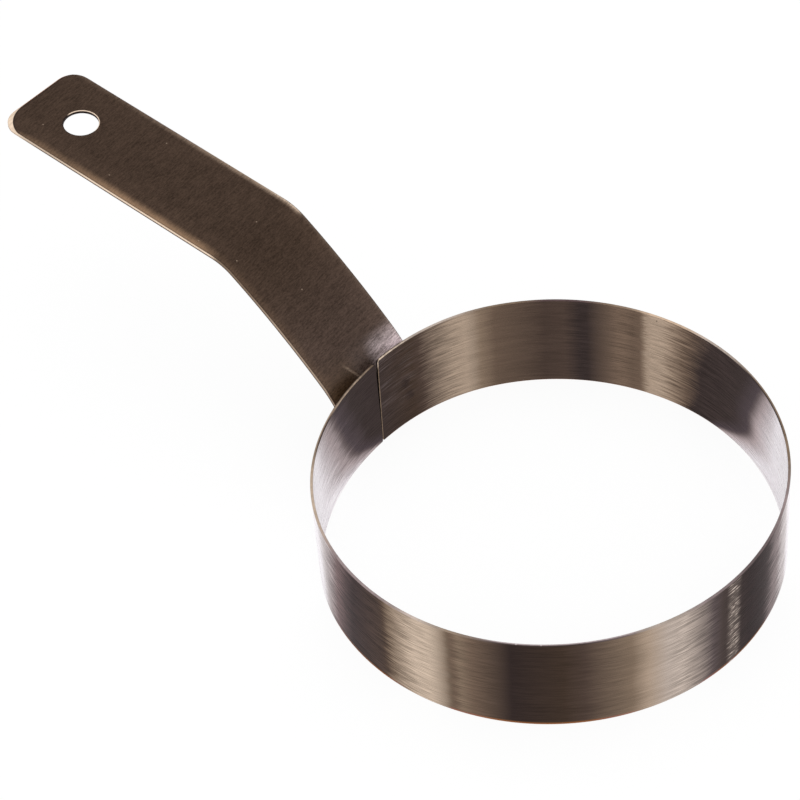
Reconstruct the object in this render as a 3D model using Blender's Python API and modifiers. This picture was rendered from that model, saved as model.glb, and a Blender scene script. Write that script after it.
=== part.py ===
"""Egg ring: a steel band rolled into a ring, with a cranked strip handle spot welded over its seam.

Metres, with +Z up. The ring stands on its lower rim at z = 0, and the handle leaves it towards +X.
The origin is at the middle of the footprint.
"""
import bmesh
import bpy
from math import asin, cos, pi, radians, sin

# The band
INNER_DIAMETER = 0.1016
BAND_THICKNESS = 0.0006
BAND_HEIGHT = 0.0248
SEAM_WIDTH = 0.0006

# The band is drawn in a little where the handle is welded, more towards one side
DRAWN_IN = 0.0012
DRAWN_IN_BEARING = radians(8.0)
DRAWN_IN_SPREAD_BEFORE = radians(45.0)
DRAWN_IN_SPREAD_AFTER = radians(55.0)

# The handle, as its strip runs: foot, welded tab, fold, slope with a gentle bow, knee, grip
HANDLE_WIDTH = 0.0243
HANDLE_THICKNESS = 0.0009
HANDLE_SIDE_SHIFT = -0.00175
TAB_FOOT_HEIGHT = 0.0008
FOLD_START_HEIGHT = 0.0136
FOLD_RADIUS = 0.0142
SLOPE_ANGLE = radians(45.5)
SLOPE_LENGTH = 0.0323
SLOPE_BOW_RADIUS = 0.1810
KNEE_RADIUS = 0.0127
GRIP_RISE = radians(6.1)
GRIP_LENGTH = 0.0661
GRIP_CORNER_RADIUS = 0.0048
TAB_FLATTENING_LENGTH = 0.0100

# The hanging hole
HOLE_DIAMETER = 0.0082
HOLE_FROM_END = 0.0145

# The spot welds, two on each end of the band
NUGGET_DIAMETER = 0.0036
NUGGET_FROM_SEAM = 0.0065
NUGGET_LOW_HEIGHT = 0.0062
NUGGET_HIGH_HEIGHT = 0.0115
POCKET_DEPTH_SHARE = 0.5

# Fits and edges
WORKING_GAP = 0.0003
BAND_EDGE_RADIUS = 0.00010
HANDLE_EDGE_RADIUS = 0.00018
NUGGET_EDGE_RADIUS = 0.00008
EDGE_STEPS = 2

# Fineness
BAND_STEPS = 168
HANDLE_COLUMNS = 14
TAB_ROWS = 4
FOLD_ROWS = 12
SLOPE_ROWS = 6
KNEE_ROWS = 8
GRIP_ROWS = 4
CORNER_ROWS = 7
HOLE_STEPS = 48
NUGGET_STEPS = 24
SHARP_ANGLE = radians(40.0)

OUTER_RADIUS = INNER_DIAMETER / 2 + BAND_THICKNESS
KNEE_ANGLE = SLOPE_ANGLE - SLOPE_LENGTH / SLOPE_BOW_RADIUS


def drawn_in(bearing):
    """How far the band lies inside its true circle at a bearing, as a raised cosine."""
    offset = (bearing - DRAWN_IN_BEARING + pi) % (2 * pi) - pi
    spread = DRAWN_IN_SPREAD_AFTER if offset > 0 else DRAWN_IN_SPREAD_BEFORE
    if abs(offset) >= spread:
        return 0.0
    return DRAWN_IN * (1 + cos(pi * offset / spread)) / 2


def wall_point(y):
    """The point of the band's outer face at a distance y beside the ring's axis, on the handle's side."""
    bearing = 0.0
    for _ in range(8):
        bearing = asin(y / (OUTER_RADIUS - drawn_in(bearing)))
    return (OUTER_RADIUS - drawn_in(bearing)) * cos(bearing), bearing


SEAM_BEARING = wall_point(HANDLE_SIDE_SHIFT)[1]


def handle_path():
    """The stations of the handle's upper face along its centre line.

    Each is its distance from the ring's axis, its height, how much of the wall's roundness it
    keeps, and how far each long edge is drawn in for the rounded corners.
    """
    x = wall_point(HANDLE_SIDE_SHIFT)[0] + WORKING_GAP
    z = TAB_FOOT_HEIGHT
    stations = []
    for row in range(TAB_ROWS + 1):
        height = z + (FOLD_START_HEIGHT - TAB_FOOT_HEIGHT) * row / TAB_ROWS
        stations.append((x, height, 1.0, 0.0))
    z = FOLD_START_HEIGHT
    bends = ((pi / 2, SLOPE_ANGLE, FOLD_RADIUS, FOLD_ROWS),
             (SLOPE_ANGLE, KNEE_ANGLE, SLOPE_BOW_RADIUS, SLOPE_ROWS),
             (KNEE_ANGLE, GRIP_RISE, KNEE_RADIUS, KNEE_ROWS))
    for first, last, radius, rows in bends:
        for row in range(1, rows + 1):
            angle = first + (last - first) * row / rows
            kept = max(0.0, 1 - (pi / 2 - angle) * FOLD_RADIUS / TAB_FLATTENING_LENGTH)
            kept = kept * kept * (3 - 2 * kept)
            stations.append((x + radius * (sin(first) - sin(angle)),
                             z + radius * (cos(angle) - cos(first)), kept, 0.0))
        x, z = stations[-1][:2]
    straight = GRIP_LENGTH - GRIP_CORNER_RADIUS
    for row in range(1, GRIP_ROWS + 1):
        run = straight * row / GRIP_ROWS
        stations.append((x + run * cos(GRIP_RISE), z + run * sin(GRIP_RISE), 0.0, 0.0))
    for row in range(1, CORNER_ROWS + 1):
        turned = pi / 2 * row / CORNER_ROWS
        run = straight + GRIP_CORNER_RADIUS * sin(turned)
        stations.append((x + run * cos(GRIP_RISE), z + run * sin(GRIP_RISE), 0.0,
                         GRIP_CORNER_RADIUS * (1 - cos(turned))))
    return stations


HANDLE_END = handle_path()[-1]
LENGTH_BEYOND_AXIS = HANDLE_END[0] + (HANDLE_THICKNESS - HANDLE_EDGE_RADIUS) * sin(GRIP_RISE)
AXIS_X = (OUTER_RADIUS - LENGTH_BEYOND_AXIS) / 2


def clear_scene():
    """Remove every object, mesh and collection of an earlier build."""
    for old in list(bpy.data.objects):
        bpy.data.objects.remove(old, do_unlink=True)
    for old in list(bpy.data.meshes):
        bpy.data.meshes.remove(old)
    for old in list(bpy.data.collections):
        bpy.data.collections.remove(old)


def new_collection(name):
    """Make a collection under the scene's own."""
    made = bpy.data.collections.new(name)
    bpy.context.scene.collection.children.link(made)
    return made


def steel(name, colour, roughness):
    """A brushed steel of its own for one piece."""
    made = bpy.data.materials.new(name)
    made.use_nodes = True
    shader = made.node_tree.nodes["Principled BSDF"]
    shader.inputs["Base Color"].default_value = (*colour, 1.0)
    shader.inputs["Metallic"].default_value = 1.0
    shader.inputs["Roughness"].default_value = roughness
    return made


def sheet_object(name, columns, rows, place, collection):
    """A grid of columns by rows faces, each corner set by place(column, row)."""
    grid = bmesh.new()
    bmesh.ops.create_grid(grid, x_segments=columns, y_segments=rows, size=1.0)
    for corner in grid.verts:
        column = round((corner.co.x + 1) / 2 * columns)
        row = round((corner.co.y + 1) / 2 * rows)
        corner.co = place(column, row)
    mesh = bpy.data.meshes.new(name)
    grid.to_mesh(mesh)
    grid.free()
    made = bpy.data.objects.new(name, mesh)
    collection.objects.link(made)
    return made


def add_thickness(piece, thickness):
    """Give a sheet its thickness, on the side away from its faces."""
    solid = piece.modifiers.new("thickness", "SOLIDIFY")
    solid.thickness = thickness
    solid.offset = -1.0
    solid.use_even_offset = True


def add_rounding(piece, radius):
    """Round the edges of a piece."""
    bevel = piece.modifiers.new("rounding", "BEVEL")
    bevel.width = radius
    bevel.segments = EDGE_STEPS
    bevel.limit_method = "ANGLE"
    bevel.angle_limit = SHARP_ANGLE


def cut(piece, cutter):
    """Cut one object away from a piece."""
    boolean = piece.modifiers.new("cut_" + cutter.name, "BOOLEAN")
    boolean.operation = "DIFFERENCE"
    boolean.solver = "EXACT"
    boolean.object = cutter


def rod(name, radius, length, steps, collection):
    """A round rod along its own Z, centred on its origin."""
    turned = bmesh.new()
    bmesh.ops.create_cone(turned, cap_ends=True, segments=steps, radius1=radius, radius2=radius, depth=length)
    mesh = bpy.data.meshes.new(name)
    turned.to_mesh(mesh)
    turned.free()
    made = bpy.data.objects.new(name, mesh)
    collection.objects.link(made)
    return made


def dress(piece, material):
    """Give a piece its material and shade it smooth up to its sharp edges."""
    piece.data.materials.clear()
    piece.data.materials.append(material)
    piece.data.shade_smooth()
    piece.data.set_sharp_from_angle(angle=SHARP_ANGLE)


def build_band(collection):
    """The rolled band, open at its seam."""
    half_gap = SEAM_WIDTH / 2 / OUTER_RADIUS
    first = SEAM_BEARING + half_gap
    swept = 2 * pi - 2 * half_gap

    def place(column, row):
        bearing = first + swept * column / BAND_STEPS
        radius = OUTER_RADIUS - drawn_in(bearing)
        return radius * cos(bearing), radius * sin(bearing), BAND_HEIGHT * row

    band = sheet_object("ring_band", BAND_STEPS, 1, place, collection)
    band.location.x = AXIS_X
    add_thickness(band, BAND_THICKNESS)
    add_rounding(band, BAND_EDGE_RADIUS)
    dress(band, steel("ring_band_steel", (0.56, 0.49, 0.43), 0.32))
    return band


def build_handle(collection):
    """The cranked strip: its tab follows the wall, and it flattens through the fold."""
    stations = handle_path()
    middle_wall = wall_point(HANDLE_SIDE_SHIFT)[0]

    def place(column, row):
        x, z, kept, corner = stations[row]
        across = (2 * column / HANDLE_COLUMNS - 1) * (HANDLE_WIDTH / 2 - corner)
        y = HANDLE_SIDE_SHIFT - across
        return x + kept * (wall_point(y)[0] - middle_wall), y, z

    handle = sheet_object("handle", HANDLE_COLUMNS, len(stations) - 1, place, collection)
    handle.location.x = AXIS_X
    add_thickness(handle, HANDLE_THICKNESS)
    dress(handle, steel("handle_steel", (0.34, 0.28, 0.23), 0.36))
    return handle


def hole_centre():
    """The middle of the hanging hole on the grip's upper face."""
    x, z = HANDLE_END[0], HANDLE_END[1]
    return (AXIS_X + x - HOLE_FROM_END * cos(GRIP_RISE), HANDLE_SIDE_SHIFT,
            z - HOLE_FROM_END * sin(GRIP_RISE))


def cut_hanging_hole(handle, cutters):
    """Drill the hanging hole square to the grip."""
    drill = rod("hole_drill", HOLE_DIAMETER / 2, HANDLE_THICKNESS * 6, HOLE_STEPS, cutters)
    drill.location = hole_centre()
    drill.rotation_euler = (0.0, -GRIP_RISE, 0.0)
    cut(handle, drill)


def nugget_places():
    """The bearing, the wall's radius there and the height of each spot weld."""
    places = []
    for side in (-1, 1):
        bearing = SEAM_BEARING + side * NUGGET_FROM_SEAM / OUTER_RADIUS
        for height in (NUGGET_LOW_HEIGHT, NUGGET_HIGH_HEIGHT):
            places.append((bearing, OUTER_RADIUS - drawn_in(bearing), height))
    return places


def radial_rod(name, place, inner, outer, radius, collection):
    """A rod that lies along a radius of the ring, from inner to outer."""
    bearing, _, height = place
    made = rod(name, radius, outer - inner, NUGGET_STEPS, collection)
    middle = (inner + outer) / 2
    made.location = (AXIS_X + middle * cos(bearing), middle * sin(bearing), height)
    made.rotation_euler = (0.0, pi / 2, bearing)
    return made


def build_nuggets(collection, cutters, band, handle):
    """The weld nuggets, each in a pocket shared by the band and the tab."""
    band_share = BAND_THICKNESS * POCKET_DEPTH_SHARE
    tab_share = WORKING_GAP + HANDLE_THICKNESS * POCKET_DEPTH_SHARE
    for number, place in enumerate(nugget_places(), 1):
        wall = place[1]
        pocket = radial_rod(f"nugget_pocket_{number}", place, wall - band_share, wall + tab_share,
                            NUGGET_DIAMETER / 2 + WORKING_GAP, cutters)
        cut(band, pocket)
        cut(handle, pocket)
        nugget = radial_rod(f"weld_nugget_{number}", place, wall - band_share + WORKING_GAP,
                            wall + tab_share - WORKING_GAP, NUGGET_DIAMETER / 2, collection)
        add_rounding(nugget, NUGGET_EDGE_RADIUS)
        dress(nugget, steel(f"weld_nugget_{number}_steel", (0.30, 0.25, 0.22), 0.45))


def main():
    """Build the egg ring."""
    clear_scene()
    parts = new_collection("egg_ring")
    cutters = new_collection("egg_ring_cutters")
    band = build_band(parts)
    handle = build_handle(parts)
    cut_hanging_hole(handle, cutters)
    add_rounding(handle, HANDLE_EDGE_RADIUS)
    build_nuggets(parts, cutters, band, handle)
    for cutter in cutters.objects:
        cutter.display_type = "WIRE"
        cutter.hide_render = True


main()
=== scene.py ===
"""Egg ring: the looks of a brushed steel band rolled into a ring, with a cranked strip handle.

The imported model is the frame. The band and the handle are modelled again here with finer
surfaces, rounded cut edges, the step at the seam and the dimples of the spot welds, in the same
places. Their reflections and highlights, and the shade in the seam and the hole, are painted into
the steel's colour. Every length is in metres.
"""
import logging
from dataclasses import dataclass
from enum import Enum
from math import cos, pi, radians, sin

import bpy
import numpy as np
from mathutils import Matrix, Vector


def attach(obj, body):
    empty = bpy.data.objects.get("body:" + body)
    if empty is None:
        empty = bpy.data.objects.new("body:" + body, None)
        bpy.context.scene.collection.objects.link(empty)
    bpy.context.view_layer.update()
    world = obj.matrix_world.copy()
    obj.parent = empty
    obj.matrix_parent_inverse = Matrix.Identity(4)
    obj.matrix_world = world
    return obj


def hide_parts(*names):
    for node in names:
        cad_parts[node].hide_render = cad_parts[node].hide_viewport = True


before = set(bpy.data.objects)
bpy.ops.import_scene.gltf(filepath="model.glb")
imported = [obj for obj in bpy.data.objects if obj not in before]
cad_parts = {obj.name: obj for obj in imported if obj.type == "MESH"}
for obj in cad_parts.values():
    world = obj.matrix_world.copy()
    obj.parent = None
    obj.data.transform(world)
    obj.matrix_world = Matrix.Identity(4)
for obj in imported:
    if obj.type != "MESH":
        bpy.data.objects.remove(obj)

LOG = logging.getLogger("egg_ring")
MM = 0.001
BODY = "root"
# A colour ramp takes 32 stops at most.
STOPS_IN_A_RAMP = 30
WHITE_LIGHT = (1.0, 1.0, 1.0, 1.0)
DIMPLE_RIM_SHARE = 0.35
Socket = bpy.types.NodeSocket
# Where a stretch with soft ends starts, is full, fades and ends.
Stretch = tuple[float, float, float, float]


class Tone(Enum):
    """The steel's tones, as the red, green and blue of a screen from 0 to 255."""

    WHITE = (255, 249, 254)
    WHITE_LILAC = (236, 231, 236)
    PALE_LILAC = (210, 200, 200)
    LILAC = (181, 166, 167)
    DEEP_LILAC = (146, 131, 131)
    GREY_LILAC = (108, 95, 95)
    BRIGHT_TAN = (186, 167, 149)
    TAN = (168, 148, 130)
    WARM_TAN = (146, 126, 109)
    LIGHT_BROWN = (125, 107, 91)
    WARM_BROWN = (106, 88, 75)
    BROWN = (90, 73, 62)
    DARK_BROWN = (76, 62, 55)
    DUSK = (67, 57, 54)
    DARK = (60, 50, 48)
    DARKEST = (52, 42, 40)
    PEACH = (226, 198, 172)
    ORANGE = (196, 128, 78)
    CREAM = (228, 206, 184)
    GOLD = (152, 123, 98)
    UMBER = (69, 55, 46)
    STONE = (188, 173, 162)
    VIOLET_GREY = (80, 69, 73)
    MAUVE = (86, 70, 70)
    OLIVE_BROWN = (64, 46, 28)

    def __mul__(self, lift: float) -> tuple[float, float, float, float]:
        """The tone as scene-linear colour, made brighter.

        Args:
            lift: how many times as bright it is.

        Returns:
            Red, green, blue and an alpha of 1.
        """
        shares = [channel / 255 for channel in self.value]
        flat = [s / 12.92 if s <= 0.04045 else ((s + 0.055) / 1.055) ** 2.4 for s in shares]
        return tuple(min(1.0, f * lift) for f in flat) + (1.0,)


class Value:
    """A number on a node's socket, to which Python's operators add Math nodes."""

    def __init__(self, bench: "NodeBench", socket: Socket) -> None:
        """Keep the socket and the bench that its nodes are made on."""
        self.bench = bench
        self.socket = socket

    def _math(self, operation: str, *others: "Value | float") -> "Value":
        """Add one Math node.

        Args:
            operation: the node's operation.
            others: the values of its other sockets.

        Returns:
            The node's result.
        """
        sockets = dict(enumerate((self, *others)))
        return self.bench.number("ShaderNodeMath", {"operation": operation}, sockets)

    def _swapped(self, operation: str, other: float) -> "Value":
        """Add a Math node that takes a plain number first."""
        return self.bench.number("ShaderNodeMath", {"operation": operation}, {0: other, 1: self})

    def __add__(self, other: "Value | float") -> "Value":
        """This value plus another."""
        return self._math("ADD", other)

    __radd__ = __add__

    def __sub__(self, other: "Value | float") -> "Value":
        """This value less another."""
        return self._math("SUBTRACT", other)

    def __rsub__(self, other: float) -> "Value":
        """A number less this value."""
        return self._swapped("SUBTRACT", other)

    def __mul__(self, other: "Value | float") -> "Value":
        """This value times another."""
        return self._math("MULTIPLY", other)

    __rmul__ = __mul__

    def __truediv__(self, other: "Value | float") -> "Value":
        """This value over another."""
        return self._math("DIVIDE", other)

    def __rtruediv__(self, other: float) -> "Value":
        """A number over this value."""
        return self._swapped("DIVIDE", other)

    def __gt__(self, other: "Value | float") -> "Value":
        """1 where this value is the greater, else 0."""
        return self._math("GREATER_THAN", other)

    def highest(self, other: "Value | float") -> "Value":
        """The higher of this value and another."""
        return self._math("MAXIMUM", other)

    def rise(self, low: float, high: float) -> "Value":
        """A smooth step from 0 at low to 1 at high, where low may be the greater.

        Args:
            low: where the step starts.
            high: where it ends.

        Returns:
            The step's value, from 0 to 1.
        """
        start, end, first, last = (low, high, 0.0, 1.0) if low < high else (high, low, 1.0, 0.0)
        return self.bench.number(
            "ShaderNodeMapRange", {"interpolation_type": "SMOOTHSTEP"},
            {"Value": self, "From Min": start, "From Max": end, "To Min": first, "To Max": last})

    def between(self, start: float, full: float, fading: float, end: float) -> "Value":
        """A stretch with soft ends: 0 to the start, 1 from full to fading, and 0 from the end."""
        return self.rise(start, full) * self.rise(end, fading)


class NodeBench:
    """Where the nodes of one material or world are made."""

    def __init__(self, tree: bpy.types.NodeTree) -> None:
        """Clear the tree and keep it."""
        tree.nodes.clear()
        self.tree = tree

    def add(self, kind: str, settings: dict | None = None,
            sockets: dict | None = None) -> bpy.types.Node:
        """Add one node: its settings first, then its sockets.

        Args:
            kind: the node's type.
            settings: its properties by name. "stops" are a ramp's places and colours.
            sockets: numbers, colours, Tones, Values or sockets, by the input's name or number.

        Returns:
            The node.
        """
        node = self.tree.nodes.new(kind)
        for name, setting in (settings or {}).items():
            if name == "stops":
                self._set_stops(node.color_ramp, setting)
            else:
                setattr(node, name, setting)
        for name, given in (sockets or {}).items():
            given = given.socket if isinstance(given, Value) else given
            given = given * 1.0 if isinstance(given, Tone) else given
            if isinstance(given, Socket):
                self.tree.links.new(given, node.inputs[name])
            else:
                node.inputs[name].default_value = given
        return node

    @staticmethod
    def _set_stops(ramp: bpy.types.ColorRamp, stops: list[tuple[float, tuple]]) -> None:
        """Give a ramp its stops.

        Args:
            ramp: the ramp, with the two stops that it is made with.
            stops: each stop's place and colour, in order.
        """
        while len(ramp.elements) < len(stops):
            ramp.elements.new(1.0)
        for element, (place, colour) in zip(ramp.elements, stops):
            element.position = place
            element.color = colour

    def number(self, kind: str, settings: dict | None = None, sockets: dict | None = None,
               output: int | str = 0) -> Value:
        """Add one node and wrap one of its outputs as a number."""
        return Value(self, self.add(kind, settings, sockets).outputs[output])

    def measure(self, name: str) -> Value:
        """A measure that the mesh keeps for each of its points."""
        return self.number("ShaderNodeAttribute", {"attribute_name": name}, None, "Fac")

    def noise(self, along: Value | float, across: Value | float, seed: float, detail: float = 2.0,
              roughness: float = 0.55) -> Value:
        """Noise over two measures.

        Args:
            along: the first measure, in cells of the noise.
            across: the second measure, in cells of the noise.
            seed: which of the noises it is.
            detail: how many finer layers it has.
            roughness: how strong the finer layers are.

        Returns:
            The noise, from 0 to 1 and mostly near 0.5.
        """
        place = self.add("ShaderNodeCombineXYZ", None, {0: along, 1: across, 2: seed})
        return self.number("ShaderNodeTexNoise", {"noise_dimensions": "3D"}, {
            "Vector": place.outputs[0], "Scale": 1.0, "Detail": detail, "Roughness": roughness})

    def mix(self, share: Value | float, first: object, second: object,
            blend: str = "MIX") -> Socket:
        """Mix two colours.

        Args:
            share: how much of the second there is, from 0 to 1.
            first: a colour, a Tone or a socket.
            second: a colour, a Tone or a socket.
            blend: the Mix node's way of blending.

        Returns:
            The mixed colour's socket.
        """
        settings = {"data_type": "RGBA", "blend_type": blend, "clamp_factor": True}
        return self.add("ShaderNodeMix", settings, {0: share, 6: first, 7: second}).outputs[2]

    def layered(self, colour: object, *layers: tuple[Value | float, object]) -> Socket:
        """Lay colours over one another.

        Args:
            colour: the lowest colour.
            layers: how much of each further colour shows, from 0 to 1, and the colour.

        Returns:
            The topmost colour's socket.
        """
        for share, layer in layers:
            colour = self.mix(share, colour, layer)
        return colour

    def brightened(self, colour: object, times: Value) -> Socket:
        """A colour made as many times as bright."""
        sockets = {0: colour, "Scale": times}
        return self.add("ShaderNodeVectorMath", {"operation": "SCALE"}, sockets).outputs[0]


@dataclass(frozen=True)
class Grain:
    """A noise drawn out into strokes: their length and breadth in millimetres, and their look.

    The noise becomes a stroke between its values low and high.
    """

    length: float
    breadth: float
    seed: float
    low: float = 0.32
    high: float = 0.68
    detail: float = 2.0
    roughness: float = 0.55

    def lay(self, along: Value, across: Value) -> Value:
        """Lay the strokes over a face.

        Args:
            along: the measure that they run along.
            across: the measure across them.

        Returns:
            1 in the strokes and 0 between them.
        """
        cells = (along / self.length, across / self.breadth)
        noise = along.bench.noise(*cells, self.seed, self.detail, self.roughness)
        return noise.rise(self.low, self.high)


@dataclass(frozen=True)
class Mark:
    """A soft oval mark on a face: its middle and half sizes in two measures, and its strength.

    The soft share of it fades towards its outline.
    """

    at: tuple[float, float]
    half: tuple[float, float] = (0.22, 0.22)
    share: float = 1.0
    soft: float = 0.5

    def lay(self, along: Value, across: Value) -> Value:
        """Lay the mark on a face.

        Args:
            along: the first measure.
            across: the second measure.

        Returns:
            The mark's share in its middle and 0 outside it.
        """
        first = (along - self.at[0]) / self.half[0]
        second = (across - self.at[1]) / self.half[1]
        return (first * first + second * second).rise(1.0, (1.0 - self.soft) ** 2) * self.share


@dataclass(frozen=True)
class Sheen:
    """One stop in a painted sheen of reflections: where it is round the ring, in degrees, and its
    tone.
    """

    bearing: float
    tone: Tone
    lift: float = 1.0


@dataclass(frozen=True)
class Surface:
    """How a steel surface takes the light."""

    roughness: float = 0.30
    roughness_swing: float = 0.10
    anisotropic: float = 0.75
    anisotropic_rotation: float = 0.25
    edge_tint: tuple[float, float, float, float] = (0.62, 0.60, 0.60, 1.0)
    bump: float = 0.25
    bump_distance: float = 0.02 * MM


def finish_steel(bench: NodeBench, surface: Surface, colour: object, roughness: Value | float,
                 height: Value | None, metallic: Value | float = 1.0) -> None:
    """Make the shader of a metal and join it to the material's output.

    Args:
        bench: the material's bench.
        surface: how the metal takes the light.
        colour: its colour.
        roughness: its roughness.
        height: the height of its grain for the bump, if it has any.
        metallic: how much of it is bare metal.
    """
    sockets = {
        "Base Color": colour, "Metallic": metallic, "Roughness": roughness,
        "Anisotropic": surface.anisotropic, "Anisotropic Rotation": surface.anisotropic_rotation,
        "Specular Tint": surface.edge_tint}
    if height is not None:
        bump = {"Strength": surface.bump, "Distance": surface.bump_distance, "Height": height}
        sockets["Normal"] = bench.add("ShaderNodeBump", None, bump).outputs[0]
    shader = bench.add("ShaderNodeBsdfPrincipled", None, sockets)
    bench.add("ShaderNodeOutputMaterial", None, {"Surface": shader.outputs[0]})


def new_material(name: str) -> tuple[bpy.types.Material, NodeBench]:
    """Start a material.

    Args:
        name: its name.

    Returns:
        The material with an empty node tree, and the bench for it.
    """
    material = bpy.data.materials.new(name)
    material.use_nodes = True
    return material, NodeBench(material.node_tree)


# Painted reflections: the light and dark bands of the walls and the rim, as tones by bearing.
INSIDE_PAINTED_SHEEN = tuple(Sheen(*stop) for stop in (
    (0.0, Tone.DARK), (6.0, Tone.DARK), (13.0, Tone.VIOLET_GREY), (15.0, Tone.GREY_LILAC, 1.1),
    (17.0, Tone.LILAC, 0.8), (19.0, Tone.LILAC), (34.0, Tone.WHITE), (66.0, Tone.WHITE_LILAC),
    (74.0, Tone.LILAC), (80.0, Tone.DARK), (93.0, Tone.DUSK), (101.0, Tone.WARM_TAN),
    (112.0, Tone.TAN), (113.5, Tone.BROWN), (131.0, Tone.DARK_BROWN), (133.0, Tone.DARKEST),
    (139.0, Tone.DARKEST), (140.5, Tone.BROWN), (154.0, Tone.LIGHT_BROWN), (156.0, Tone.TAN),
    (166.0, Tone.TAN), (177.0, Tone.DUSK), (196.0, Tone.DARK), (203.0, Tone.LILAC),
    (216.0, Tone.WHITE), (233.0, Tone.WHITE), (244.0, Tone.LILAC, 1.1), (247.0, Tone.GREY_LILAC),
    (248.0, Tone.VIOLET_GREY), (254.0, Tone.DARK), (266.0, Tone.DARK), (271.0, Tone.WARM_BROWN),
    (275.0, Tone.WARM_TAN), (278.0, Tone.TAN, 1.1), (282.0, Tone.TAN, 1.1),
    (283.0, Tone.WARM_TAN, 0.9), (284.0, Tone.WARM_BROWN, 1.1), (286.0, Tone.WARM_BROWN),
    (288.0, Tone.WARM_BROWN, 1.2), (290.0, Tone.WARM_BROWN, 1.2), (298.0, Tone.DARK),
    (300.0, Tone.DARK), (304.0, Tone.DARK_BROWN, 1.1), (309.0, Tone.DARK_BROWN),
    (322.0, Tone.WARM_BROWN), (326.0, Tone.LIGHT_BROWN, 1.2), (328.0, Tone.TAN, 0.9),
    (330.0, Tone.TAN, 1.1), (333.0, Tone.TAN), (343.0, Tone.DARK_BROWN, 1.1), (346.0, Tone.UMBER),
    (360.0, Tone.DARK)))

OUTSIDE_PAINTED_SHEEN = tuple(Sheen(*stop) for stop in (
    (0.0, Tone.LILAC), (3.0, Tone.WARM_BROWN), (14.0, Tone.WARM_BROWN), (20.0, Tone.LILAC),
    (33.0, Tone.WHITE_LILAC), (36.0, Tone.WHITE), (55.0, Tone.WHITE), (60.0, Tone.PALE_LILAC),
    (67.0, Tone.MAUVE, 2.4), (71.0, Tone.MAUVE), (74.0, Tone.MAUVE, 0.5), (85.0, Tone.DARK_BROWN),
    (86.0, Tone.BROWN, 0.9), (88.0, Tone.LIGHT_BROWN, 1.1), (95.0, Tone.BRIGHT_TAN, 1.2),
    (99.0, Tone.BRIGHT_TAN, 1.2), (101.0, Tone.BRIGHT_TAN), (103.0, Tone.TAN, 0.8),
    (104.0, Tone.LIGHT_BROWN, 0.9), (105.0, Tone.WARM_BROWN, 1.1), (107.0, Tone.LIGHT_BROWN, 1.1),
    (110.0, Tone.WARM_BROWN, 1.1), (119.0, Tone.DARKEST), (131.0, Tone.UMBER, 0.9),
    (136.0, Tone.DARK_BROWN, 1.1), (147.0, Tone.LIGHT_BROWN, 1.1), (151.0, Tone.TAN, 1.1),
    (156.0, Tone.STONE), (160.0, Tone.STONE), (169.0, Tone.GREY_LILAC, 0.7),
    (172.0, Tone.DUSK, 1.2), (182.0, Tone.MAUVE, 0.3), (187.0, Tone.MAUVE, 0.3),
    (190.0, Tone.MAUVE, 0.5), (194.0, Tone.DEEP_LILAC), (196.0, Tone.DEEP_LILAC, 1.2),
    (200.0, Tone.PALE_LILAC), (203.0, Tone.PALE_LILAC, 1.1), (207.0, Tone.WHITE),
    (226.0, Tone.WHITE), (240.0, Tone.LILAC), (246.0, Tone.DARK), (262.0, Tone.DUSK),
    (279.0, Tone.BRIGHT_TAN), (281.0, Tone.WARM_BROWN), (293.0, Tone.BROWN), (295.0, Tone.DARKEST),
    (303.0, Tone.DARK), (314.0, Tone.BROWN), (322.0, Tone.WARM_TAN), (333.0, Tone.WHITE_LILAC),
    (345.0, Tone.WHITE_LILAC), (350.0, Tone.LIGHT_BROWN), (357.0, Tone.LIGHT_BROWN),
    (360.0, Tone.LILAC)))

RIM_PAINTED_SHEEN = tuple(Sheen(*stop) for stop in (
    (0.0, Tone.LIGHT_BROWN, 0.9), (6.0, Tone.TAN), (34.0, Tone.TAN, 0.9), (41.0, Tone.BRIGHT_TAN),
    (54.0, Tone.BRIGHT_TAN, 1.1), (68.0, Tone.DEEP_LILAC, 1.1), (84.0, Tone.DEEP_LILAC, 1.1),
    (98.0, Tone.STONE, 1.1), (104.0, Tone.TAN, 0.8), (118.0, Tone.GREY_LILAC),
    (142.0, Tone.GREY_LILAC, 1.1), (149.0, Tone.STONE, 0.8), (159.0, Tone.STONE, 0.9),
    (166.0, Tone.DEEP_LILAC), (181.0, Tone.GREY_LILAC), (189.0, Tone.GREY_LILAC),
    (196.0, Tone.DEEP_LILAC, 0.9), (206.0, Tone.DEEP_LILAC, 1.1), (218.0, Tone.LIGHT_BROWN, 1.1),
    (242.0, Tone.LIGHT_BROWN, 1.1), (257.0, Tone.STONE, 0.8), (265.0, Tone.STONE),
    (271.0, Tone.PEACH, 0.8), (281.0, Tone.PEACH, 0.9), (286.0, Tone.WARM_TAN, 1.1),
    (292.0, Tone.LIGHT_BROWN), (299.0, Tone.MAUVE, 1.3), (309.0, Tone.MAUVE, 1.3),
    (315.0, Tone.LIGHT_BROWN), (323.0, Tone.LIGHT_BROWN, 1.1), (337.0, Tone.STONE, 1.1),
    (344.0, Tone.STONE, 0.8), (360.0, Tone.CREAM)))


def painted_sheen_colour(bench: NodeBench, sheen: tuple[Sheen, ...], place: Value) -> Socket:
    """The painted sheen's colour at a place round the ring.

    Args:
        bench: the material's bench.
        sheen: the tones round the ring.
        place: the bearing, with its ragged edge, in degrees.

    Returns:
        The colour's socket.
    """
    colour: object = None
    for start in range(0, len(sheen) - 1, STOPS_IN_A_RAMP):
        part = sheen[start:start + STOPS_IN_A_RAMP + 1]
        first, length = part[0].bearing, part[-1].bearing - part[0].bearing
        stops = [((s.bearing - first) / length, s.tone * s.lift) for s in part]
        ramp = bench.add("ShaderNodeValToRGB", {"stops": stops}, {"Fac": (place - first) / length})
        tones = ramp.outputs[0]
        colour = tones if colour is None else bench.mix(place > first, colour, tones)
    return colour


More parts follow.
